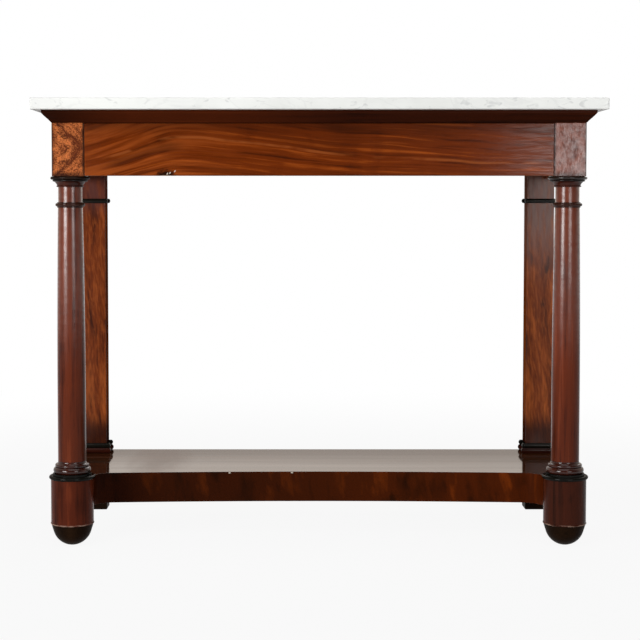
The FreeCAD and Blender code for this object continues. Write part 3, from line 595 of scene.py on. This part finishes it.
for side in SIDES:
    low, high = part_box(f"base_ring_{side}")
    ring = [(0, low.z), *bead(drum_ring_radius, low.z, drum_ring_height),
            (drum_ring_neck, low.z + drum_ring_height), (drum_ring_neck, high.z), (0, high.z)]
    turned("drum_ring", ring, side, ring_black, "ebonised_wood", "base_ring")

    low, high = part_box(f"column_base_{side}")
    roll_top = low.z + base_roll_height
    bead_top = roll_top + base_bead_height
    attic = [(0, low.z), *rounded(base_roll_radius, low.z, roll_top, base_roll_bulge),
             *rounded(base_bead_radius, roll_top, bead_top, base_bead_bulge),
             *arc((base_hollow_radius, bead_top), (shaft_radius, high.z), base_hollow_curve, -1),
             (0, high.z)]
    turned("column_foot", attic, side, attic_red, "mahogany", "column_base")

    neck_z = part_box(f"neck_ring_{side}")[0].z
    capital_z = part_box(f"capital_{side}")[0].z
    taper = shaft_radius - shaft_top_radius
    taper_z = high.z + shaft_straight
    swell = ((neck_z - taper_z) ** 2 + taper ** 2) / (2 * taper)
    shaft = [(0, high.z), (shaft_radius, high.z),
             *arc((shaft_radius, taper_z), (shaft_top_radius, neck_z), swell), (neck_radius, neck_z),
             (neck_radius, capital_z), (0, capital_z)]
    turned("shaft", shaft, side, column_red, "mahogany", "column_shaft")

    low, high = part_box(f"neck_ring_{side}")
    bead_z = low.z + neck_fillet_height
    collar = [(neck_radius, low.z), (neck_fillet_radius, low.z), (neck_fillet_radius, bead_z),
              *bead(neck_bead_radius, bead_z, neck_bead_height),
              (neck_fillet_radius, bead_z + neck_bead_height), (neck_fillet_radius, high.z),
              (neck_radius, high.z)]
    turned("collar", collar, side, collar_brown, "ebonised_wood", "neck_ring", hollow=True)

    low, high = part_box(f"capital_{side}")
    neck_top = low.z + capital_bead_height
    bell = [(0, low.z), *bead(capital_bead_radius, low.z, capital_bead_height),
            *arc((capital_neck, neck_top), (capital_flare_radius, capital_roll_z), capital_flare_curve, -1),
            *bead(capital_roll_radius, capital_roll_z, capital_roll_height), (0, high.z)]
    turned("capital_bell", bell, side, capital_red, "mahogany", "capital")

    low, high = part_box(f"capital_plate_{side}")
    plate = [(0, low.z), *bead(plate_radius, low.z, high.z - low.z), (0, high.z)]
    turned("abacus", plate, side, plate_black, "ebonised_wood", "capital_plate")

# Rear posts: flat mahogany uprights against the wall, tenoned into the shelf, with the grain standing and a
# flame near the foot. Each has a black band near the top, and a roll and a black bead on the shelf.
post_edge = 0.0012
band_flat = 0.003
band_bulge = 0.003
roll_flat = 0.007
roll_bulge = 0.0035
post_bead_flat = 0.006
post_bead_bulge = 0.003
post_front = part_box("rear_post_left")[0].y
front_depth = (0.003, 0.001)
flame_z = 0.27
flame_half = (0.14, 0.03)
post_darker_z = (0.23, 0.18)
tick_scale = (44, 230, 230)
post_tones = {"left": [(60, 23, 8), (112, 49, 17), (150, 75, 32)],
              "right": [(58, 25, 9), (112, 51, 18), (154, 80, 33)]}
# The heads of the posts carry a painted sheen.
head_sheen_heights = {"left": (0.66, 0.72), "right": (0.50, 0.68)}
head_sheen_tones = {"left": (86, 50, 46), "right": (106, 79, 71)}


def leaning(place):
    """Upright grain that leans over in slow waves, as flame figure does."""
    x, y, z = directions(place)
    lean = noise(place, (3, 3, 5), 1) * 0.04
    return joined(z + x * 0.6, x + lean + z * 0.06, y)


def post_flame(place):
    """Bright tongues of flame figure a hand's breadth above the shelf."""
    tongue = fade(noise(leaning(place), (9, 44, 44), 3), 0.50, 0.62)
    return tongue * fade(abs(directions(place)[2] - flame_z), *flame_half) * 0.5


def post_ticks(place):
    """Short dark ticks where the polish has sunk into the grain of the post."""
    return fade(noise(leaning(place), tick_scale, 3), 0.50, 0.34) * 0.32


def post_flecks(place):
    """Bright flecks between those ticks."""
    return fade(noise(leaning(place), tick_scale, 3), 0.50, 0.66) * 0.34


def post_foot(place):
    """Darker on the lowest few centimetres of the post."""
    return fade(directions(place)[2], *post_darker_z) * 0.85


def post_head_sheen(place):
    """Painted sheen on the post's head, grey on the right and purple on the left, in fine upright scratches.
    """
    scratched = fade(noise(upright(place), (16, 110, 110), 6), 0.38, 0.62) * 0.4 + 0.45
    return fade(directions(place)[2], *head_sheen_z) * scratched


def front_polish(place):
    """Polish on the fronts alone: the returns beside the wall were never rubbed up."""
    return fade(directions(place)[1], post_front + front_depth[0], post_front + front_depth[1]) * 0.25


post_black = ebonised("post_black", (12, 12, 9), (28, 24, 18), shine=0.3, gloss=0.0, coat=front_polish)
post_roll_red = mahogany("post_roll_red", lengthwise, [(24, 8, 4), (48, 17, 9), (78, 30, 15)], gloss=0.0,
                         coat=front_polish)
mitres = [(-1, 0), (-1, -1), (1, -1), (1, 0)]
for side in SIDES:
    head_sheen_z = head_sheen_heights[side]
    post_brown = mahogany(f"post_brown_{side}", leaning, post_tones[side], figure=(7, 60), shine=0.42,
                          gloss=0.0, coat=front_polish,
                          marks=[(post_flame, (156, 80, 34)), (post_ticks, (58, 22, 8)),
                                 (post_flecks, (160, 82, 36)), (post_foot, (36, 16, 12)),
                                 (post_head_sheen, head_sheen_tones[side])])
    low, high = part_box(f"rear_post_{side}")
    low.z = shelf_top
    dressed(block(f"post_{side}", low, high, post_edge), post_brown, "mahogany", f"rear_post_{side}")
    faces = [(low.x, high.y), (low.x, low.y), (high.x, low.y), (high.x, high.y)]
    for piece, node, flat, bulge, material, slot in (
            ("post_collar", f"post_band_{side}", band_flat, band_bulge, post_black, "ebonised_wood"),
            ("post_roll", f"post_base_{side}", roll_flat, roll_bulge, post_roll_red, "mahogany"),
            ("post_bead", "post_beads", post_bead_flat, post_bead_bulge, post_black, "ebonised_wood")):
        bottom, top = (corner.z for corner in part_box(node))
        profile = [(0, bottom), *rounded(flat, bottom, top, bulge), (0, top)]
        moulding = carried(f"{piece}_length_{side}", faces, mitres, profile)
        dressed(moulding, material, slot, node)

# Carcass of the frieze: two solid corner blocks over the columns, side friezes tenoned between blocks and
# posts, and oak behind and inside. The blocks are crotch mahogany, whose grain parts like a feather.
block_edge = 0.0012
block_low, block_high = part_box("corner_block_right")
block_half_height = 0.056
block_middle = (ear_x + block_high.x) / 2
# The arris band and the lower edge band are where shade is painted on the blocks.
arris_shade_band = (0.027, 0.0318)
edge_shade_height = 0.014
face_depth = (0.005, 0.001)
block_bloom_x = (0.30, 0.52)
scratched_x = (0.0, 0.4)
# The right block's greyish tones, and its glow tone, are a painted sheen over the crotch.
feather_and_sheen_tones = {"left": [(46, 18, 8), (86, 37, 16), (122, 60, 28)],
                 "right": [(84, 45, 36), (114, 66, 54), (140, 90, 75)]}
glow_tone = {"left": (206, 116, 62), "right": (136, 84, 70)}


def bloomed_polish(place):
    """Polish that has bloomed grey towards the right end, in patches and with small dull pits in it."""
    pits = fade(noise(place, (280, 280, 120), 2), 0.48, 0.62)
    patches = fade(noise(place, (70, 70, 46), 3), 0.36, 0.64)
    return fade(directions(place)[0], *block_bloom_x) * (0.30 + patches * 0.36 - pits * 0.34)


def scratches(place):
    """Fine pale upright scratches, which begin past the middle and are most on the right."""
    scratch = fade(noise(upright(place), (16, 420, 420), 1), 0.68, 0.76)
    return scratch * fade(directions(place)[0], *scratched_x) * 0.35


def feathered(place):
    """Crotch figure: broken waves of grain that climb to the right up to half height and fall back above."""
    x, y, z = directions(place)
    half = abs(z - block_low.z - block_half_height)
    waver = noise(place, (44, 44, 44), 4) * 0.018
    return joined(x * 0.7 - half * 0.7, x * 0.7 + half * 0.7 + waver, y)


def block_front(place):
    """1 on the front of the block, and 0 from just behind its front arrises on."""
    return fade(directions(place)[1], block_low.y + face_depth[0], block_low.y + face_depth[1])


def crotch_glow(place):
    """Painted highlights, on the front alone, in patches where the light goes deep into the curled grain."""
    curl = noise(feathered(place), (26, 60, 60), 6)
    sparkle = noise(place, (420, 420, 420), 2)
    return fade(curl + sparkle * 0.6, 0.70, 0.98) * block_front(place)


def block_arris_shade(place):
    """Painted shade along the upright arrises and the lower edge of the blocks."""
    x, y, z = directions(place)
    aside = fade(abs(abs(x) - block_middle), *arris_shade_band) * block_front(place)
    return (aside * 0.8).maths("MAXIMUM", fade(z, block_low.z + edge_shade_height, block_low.z) * 0.75)


def backwards(place):
    """The wood's own directions where its grain runs along Y."""
    x, y, z = directions(place)
    return joined(y, z, x)


side_brown = mahogany("side_frieze_brown", backwards, [(72, 28, 10), (106, 48, 22), (136, 72, 40)],
                      figure=(1.6, 40), shine=0.22)
for side in SIDES:
    feather = mahogany(f"feather_{side}", feathered, feather_and_sheen_tones[side], figure=(20, 84), shine=0.24,
                       gloss=0.1, ripple=0.0003, coat=bloomed_polish,
                       marks=[(crotch_glow, glow_tone[side]), (block_arris_shade, (34, 14, 8)),
                              (scratches, (176, 140, 128))])
    corner = block(f"crotch_block_{side}", *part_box(f"corner_block_{side}"), block_edge)
    dressed(corner, feather, "mahogany", f"corner_block_{side}")
    low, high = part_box(f"side_frieze_{side}")
    low.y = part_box(f"corner_block_{side}")[1].y
    high.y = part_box(f"rear_post_{side}")[0].y
    side_frieze = block(f"side_frieze_board_{side}", low, high, block_edge)
    dressed(side_frieze, side_brown, "mahogany", f"side_frieze_{side}")
bare_oak("back_frieze", "drawer_rail", "drawer_runners", "drawer_guides", "drawer_kickers")

# Frieze drawer: an oak box, dovetailed at the front, behind one length of figured mahogany veneer that fills
# the frieze between the blocks. No handle; its lower edge is chipped where fingers have pulled it.
veneer_low, veneer_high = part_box("drawer_front_veneer")
veneer_edge = 0.0006
veneer_ease = 0.0002
veneer_steps = 480
crown_x = -0.284
crown_level = 0.847
crown_line_half = (0.0040, 0.0010)
crown_shade_drop = 0.016
crown_shade_half = (0.012, 0.003)
crown_shade_x = crown_x - 0.07
crown_shade_reach = (0.10, 0.05)
left_spread, left_drop = 0.03, 0.09
right_spread, right_drop = 0.09, 0.06
left_glow_x = (-0.12, -0.34)
smoke_x = 0.06
smoke_reach = (0.30, 0.04)
smoke_rise = 0.030
cornice_shade_depth = 0.030
bloom_left_x = (-0.40, -0.47)
bloom_right_x = (0.28, 0.50)
chip_x = -0.311
chip_depth = 0.0022
chip_half = 0.013
chip_waves = 2400
nick_x = chip_x + 0.022
nick_half = 0.004
stain_half = (0.026, 0.015)
speck_half = (0.0016, 0.0026)
specks = ((0.004, 0.004), (0.009, 0.0055), (0.019, 0.009))


def swept(place):
    """Cathedral figure: the grain lines climb from the left to a crown, then fall slowly and run out level.
    On each side the fall is its drop times distance squared over (distance squared + spread)."""
    x, y, z = directions(place)
    left = (x - crown_x).maths("MINIMUM", 0.0)
    right = (x - crown_x).maths("MAXIMUM", 0.0)
    left_fall = left * left / (left * left + left_spread) * left_drop
    right_fall = right * right / (right * right + right_spread) * right_drop
    waver = noise(place, (4, 4, 12), 2) * 0.022
    return joined(x, z + (left_fall + right_fall) + waver, y)


def left_glow(place):
    """Lighter wood on the left of the crown, in streaks along the grain."""
    streaks = fade(noise(swept(place), (6, 70, 70), 4), 0.40, 0.62)
    return fade(directions(place)[0], *left_glow_x) * streaks * 0.6


def smoke(place):
    """Smoky dark wood high up in the middle of the frieze, which thins out in clouds."""
    x, y, z = directions(place)
    clouds = fade(noise(swept(place), (5, 40, 40), 4), 0.34, 0.62)
    high_up = fade(z, veneer_low.z + smoke_rise, veneer_high.z)
    return high_up * fade(abs(x - smoke_x), *smoke_reach) * clouds * 0.7


def crown_shade(place):
    """The dark rings below the palest one, on the left of the crown."""
    level = directions(swept(place))[1]
    aside = abs(directions(place)[0] - crown_shade_x)
    rings = fade(abs(level - (crown_level - crown_shade_drop)), *crown_shade_half)
    return rings * fade(aside, *crown_shade_reach) * 0.5


def crown_line(place):
    """The palest growth ring, a thin broken line over the crown."""
    level = directions(swept(place))[1]
    broken = fade(noise(place, (14, 14, 40), 2), 0.42, 0.62)
    return fade(abs(level - crown_level), *crown_line_half) * broken * 0.45


def under_cornice_shade(place):
    """Painted shade along the top of the frieze, under the cornice."""
    return fade(veneer_high.z - directions(place)[2], cornice_shade_depth, 0.0) * 0.5


def chip_stain(place):
    """Grime round the chip, a ragged ellipse that fades out within a finger's breadth."""
    x, y, z = directions(place)
    away = (x - chip_x) / stain_half[0]
    up = (z - veneer_low.z) / stain_half[1]
    ragged = noise(place, (160, 160, 160), 3) * 0.8
    return fade((away * away + up * up).maths("SQRT") + ragged, 1.4, 0.8) * 0.95


def chip_speck(place, aside, up):
    """A splinter of bare pale wood at the chip, an ellipse that leans to the right."""
    x, y, z = directions(place)
    height = z - veneer_low.z - up
    across = (x - chip_x - aside - height * 0.5) / speck_half[0]
    along = height / speck_half[1]
    return fade(across * across + along * along, 1.0, 0.4)


def chip_specks(place):
    """Three such splinters."""
    return sum(chip_speck(place, aside, up) for aside, up in specks) * 0.7


def frieze_bloom(place):
    """Polish that has bloomed at both ends of the frieze, a little on the left and more on the right, in
    streaks along the grain."""
    x, y, z = directions(place)
    streaks = fade(noise(swept(place), (26, 300, 300), 3), 0.40, 0.60)
    ends = fade(x, *bloom_right_x) * 0.9 + fade(x, *bloom_left_x) * 0.5
    return ends * (0.44 - streaks * 0.30)


# The veneer's section goes along X, and its lower edge is lifted by a ragged bite and a small nick beside
# it.
station = np.linspace(veneer_low.x, veneer_high.x, veneer_steps)[:, None]
bite = np.clip(1 - np.abs((station - chip_x) / chip_half), 0, 1) ** 0.6
nick = np.clip(1 - np.abs((station - nick_x) / nick_half), 0, 1)
chip = chip_depth * (bite * (0.75 + 0.25 * np.sin(station * chip_waves)) + 0.6 * nick)
loop = np.array([(veneer_high.y, veneer_low.z), (veneer_low.y + veneer_edge, veneer_low.z),
                 (veneer_low.y, veneer_low.z + veneer_edge), (veneer_low.y, veneer_high.z - veneer_edge),
                 (veneer_low.y + veneer_edge, veneer_high.z), (veneer_high.y, veneer_high.z)])
is_low = loop[:, 1] < (veneer_low.z + veneer_high.z) / 2
veneer_grid = np.stack(np.broadcast_arrays(station, loop[:, 0], loop[:, 1] + chip * is_low), -1)
# The band under the cornice is painted shade.
frieze_figure = mahogany("frieze_figure", swept, [(64, 23, 4), (102, 40, 7), (152, 71, 20)],
                         figure=(2.6, 84), shine=0.22, gloss=0.04, ripple=0.0003, coat=frieze_bloom,
                         marks=[(left_glow, (158, 76, 28)), (smoke, (54, 21, 5)),
                                (crown_shade, (58, 23, 8)), (crown_line, (164, 88, 40)),
                                (under_cornice_shade, (56, 21, 6)), (chip_stain, (16, 8, 4)),
                                (chip_specks, (214, 204, 190))])
frieze = surface("frieze_veneer", veneer_grid, (False, True), capped=True, ease=veneer_ease)
dressed(frieze, frieze_figure, "mahogany", "drawer_front_veneer", body="drawer")
bare_oak("drawer_front", "drawer_side_left", "drawer_side_right", "drawer_back", "drawer_bottom")

# Cornice: a splayed mahogany moulding, a little hollow below and round above, mitred at both corners and
# fixed round the oak frame that carries the slab. Its face looks down, and its tones are painted dark as
# that shade: the darkest wood in front.
cornice_seat = 0.016
cornice_lip = 0.006
cornice_curve = 0.120
cornice_glow_x = (0.10, -0.25)
cornice_dark_x = (-0.36, -0.56)


def cornice_glow(place):
    """Redder wood on the left half."""
    return fade(directions(place)[0], *cornice_glow_x) * 0.6


def cornice_dark(place):
    """Black-brown towards the left end."""
    return fade(directions(place)[0], *cornice_dark_x) * 0.7


cornice_low, cornice_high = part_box("cornice_front")
overhang = cornice_high.x - block_high.x
lip_z = cornice_high.z - cornice_lip
half_way = (overhang / 2, (cornice_low.z + lip_z) / 2)
splay = [(-cornice_seat, cornice_low.z), (0, cornice_low.z),
         *arc((0, cornice_low.z), half_way, cornice_curve, -1)[1:],
         *arc(half_way, (overhang, lip_z), cornice_curve)[1:], (overhang, cornice_high.z),
         (-cornice_seat, cornice_high.z)]
carcass = [(-block_high.x, wall_y), (-block_high.x, block_low.y), (block_high.x, block_low.y),
           (block_high.x, wall_y)]
for first, name, lie in ((0, "left", backwards), (1, "front", lengthwise), (2, "right", backwards)):
    # These dark tones are painted shade, for a face that looks down.
    cornice_brown = mahogany(f"cornice_brown_{name}", lie, [(24, 8, 3), (50, 18, 6), (78, 32, 11)],
                             figure=(1.6, 50), shine=0.30, gloss=0.02,
                             marks=[(cornice_glow, (82, 32, 9)), (cornice_dark, (12, 5, 3))])
    length = carried(f"cornice_length_{name}", carcass[first:first + 2], mitres[first:first + 2], splay)
    dressed(length, cornice_brown, "mahogany", f"cornice_{name}")

# Top frame: five oak rails, tenoned together and screwed down on the blocks and posts by four iron screws,
# all hidden under the slab.
bare_oak("top_front_rail", "top_back_rail", "top_left_rail", "top_centre_rail", "top_right_rail")
iron, place = finish("screw_iron")
rust = fade(noise(place, (300, 300, 300), 4), 0.45, 0.65)
iron_normal = place.node("ShaderNodeBump", None, {"Height": rust, "Distance": 0.0002})
iron_shader = place.node("ShaderNodeBsdfPrincipled", None,
                         {"Base Color": blend(rust, tint(120, 116, 110), tint(88, 54, 34)),
                          "Metallic": 1 - rust, "Roughness": 0.35 + rust * 0.4, "Normal": iron_normal})
place.node("ShaderNodeOutputMaterial", None, {"Surface": iron_shader})
screw_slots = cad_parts["top_screws"].data.materials
screw_slots.clear()
screw_slots.append(iron)

# Slab: one piece of white marble, sawn and honed, that lies loose on the top frame. Its arrises are eased,
# and faint grey veins and flecks run through it on the slant.
slab_edge = 0.0025
marble, place = finish("marble_white")
x, y, z = directions(place)
slant = joined(x + z * 0.9, y, z * 0.8 - x * 0.2)
vein = fade(abs(noise(slant, (5, 5, 9), 6, 1.6) - 0.5), 0.028, 0.0)
fleck = fade(noise(slant, (34, 34, 80), 5, 0.8), 0.59, 0.70)
cloud = fade(noise(place, (7, 7, 7), 3), 0.35, 0.7)
stone = blend(cloud, tint(236, 237, 234), tint(226, 227, 224))
stone = blend(vein * 0.10 + fleck * 0.36, stone, tint(168, 170, 170))
lacquer(place, stone, 0.44 + cloud * 0.12, noise(place, (160, 160, 160), 2), 0.00012, gloss=0.25)
dressed(block("slab", *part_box("marble_top"), slab_edge), marble, "marble", "marble_top")

# Studio: a plain white floor just under the feet that runs out to a white surround, a large soft lamp on the
# left, a weaker one on the right, one overhead and one behind, and the camera at the photograph's place.
floor_half = 30.0
floor_z = -0.0003
floor_fade = (0.9, 2.6)
mirror_fade = (-0.45, 0.15)
ambient = 0.11
lamp_target = np.array([0.0, 0.0, 0.45])


def rays(place):
    """Whether a ray comes from the camera, from a mirror or through glass: three values, each 0 or 1."""
    return [place.node("ShaderNodeLightPath", None, None, f"Is {kind} Ray")
            for kind in ("Camera", "Glossy", "Transmission")]


floor_grid = np.stack(np.broadcast_arrays(np.array([[-floor_half], [floor_half]]),
                                          np.array([-floor_half, floor_half]), floor_z), -1)
floor = surface("floor", floor_grid, (False, False), ease=0.0)
paper, place = finish("floor_paper")
camera_ray, mirror_ray, glass_ray = rays(place)
distance = place.node("ShaderNodeVectorMath", {"operation": "LENGTH"}, {0: place}, "Value")
white = 0.92 + fade(distance, *floor_fade) * 0.08
diffuse = place.node("ShaderNodeBsdfDiffuse", None, {"Color": tint(180, 180, 180)})
glow = place.node("ShaderNodeEmission", None, {"Color": (1.0, 1.0, 1.0, 1.0), "Strength": 1.0})
seen = (camera_ray + mirror_ray + glass_ray) * white
bare = place.node("ShaderNodeMixShader", None, {0: seen, 1: diffuse, 2: glow})
place.node("ShaderNodeOutputMaterial", None, {"Surface": bare})
floor.data.materials.append(paper)

# The surround is white to the camera, a little warm and darker towards the front in mirrors, and dim as
# light.
world = bpy.data.worlds.new("white_surround")
world.use_nodes = True
world.node_tree.nodes.clear()
bpy.context.scene.world = world
direction = Shade(world.node_tree.nodes.new("ShaderNodeTexCoord").outputs["Generated"])
camera_ray, mirror_ray, glass_ray = rays(direction)
mirrored = 0.12 + fade(directions(direction)[1], *mirror_fade) * 0.88
level = camera_ray + glass_ray + mirror_ray * mirrored
level = level + (1 - camera_ray - glass_ray - mirror_ray) * ambient
surround = blend(mirror_ray, tint(255, 255, 255), tint(255, 244, 233))
background = direction.node("ShaderNodeBackground", None, {"Color": surround, "Strength": level})
direction.node("ShaderNodeOutputWorld", None, {"Surface": background})


def softbox(name, place, width, height, power):
    """A rectangular lamp that faces the middle of the table."""
    lamp = bpy.data.lights.new(name, "AREA")
    lamp.shape = "RECTANGLE"
    lamp.size = width
    lamp.size_y = height
    lamp.energy = power
    holder = bpy.data.objects.new(name, lamp)
    holder.location = place
    aim = lamp_target - np.array(place)
    tilt = math.atan2(math.hypot(aim[0], aim[1]), -aim[2])
    holder.rotation_euler = (tilt, 0, math.atan2(-aim[0], aim[1]))
    holder.visible_camera = False
    bpy.context.scene.collection.objects.link(holder)


softbox("lamp_left", (-3.4, -3.7, 1.27), 2.0, 1.4, 178)
softbox("lamp_right", (1.45, -3.2, 0.9), 1.3, 0.7, 24)
softbox("lamp_above", (0.0, -1.2, 3.2), 2.6, 1.8, 30)
softbox("lamp_behind", (0.6, 3.0, 2.2), 3.0, 1.8, 45)

camera_fall = math.radians(2.993)
camera_data = bpy.data.cameras.new("camera")
camera_data.sensor_width = 36.0
camera_data.lens = 88.76
camera_data.shift_x = 0.0413
camera_data.shift_y = -0.0619
camera = bpy.data.objects.new("camera", camera_data)
camera.location = (-0.0516, -3.402, 0.7149)
camera.rotation_euler = (math.pi / 2 - camera_fall, 0.0, 0.0)
bpy.context.scene.collection.objects.link(camera)
bpy.context.scene.camera = camera
bpy.context.scene.view_settings.view_transform = "Standard"
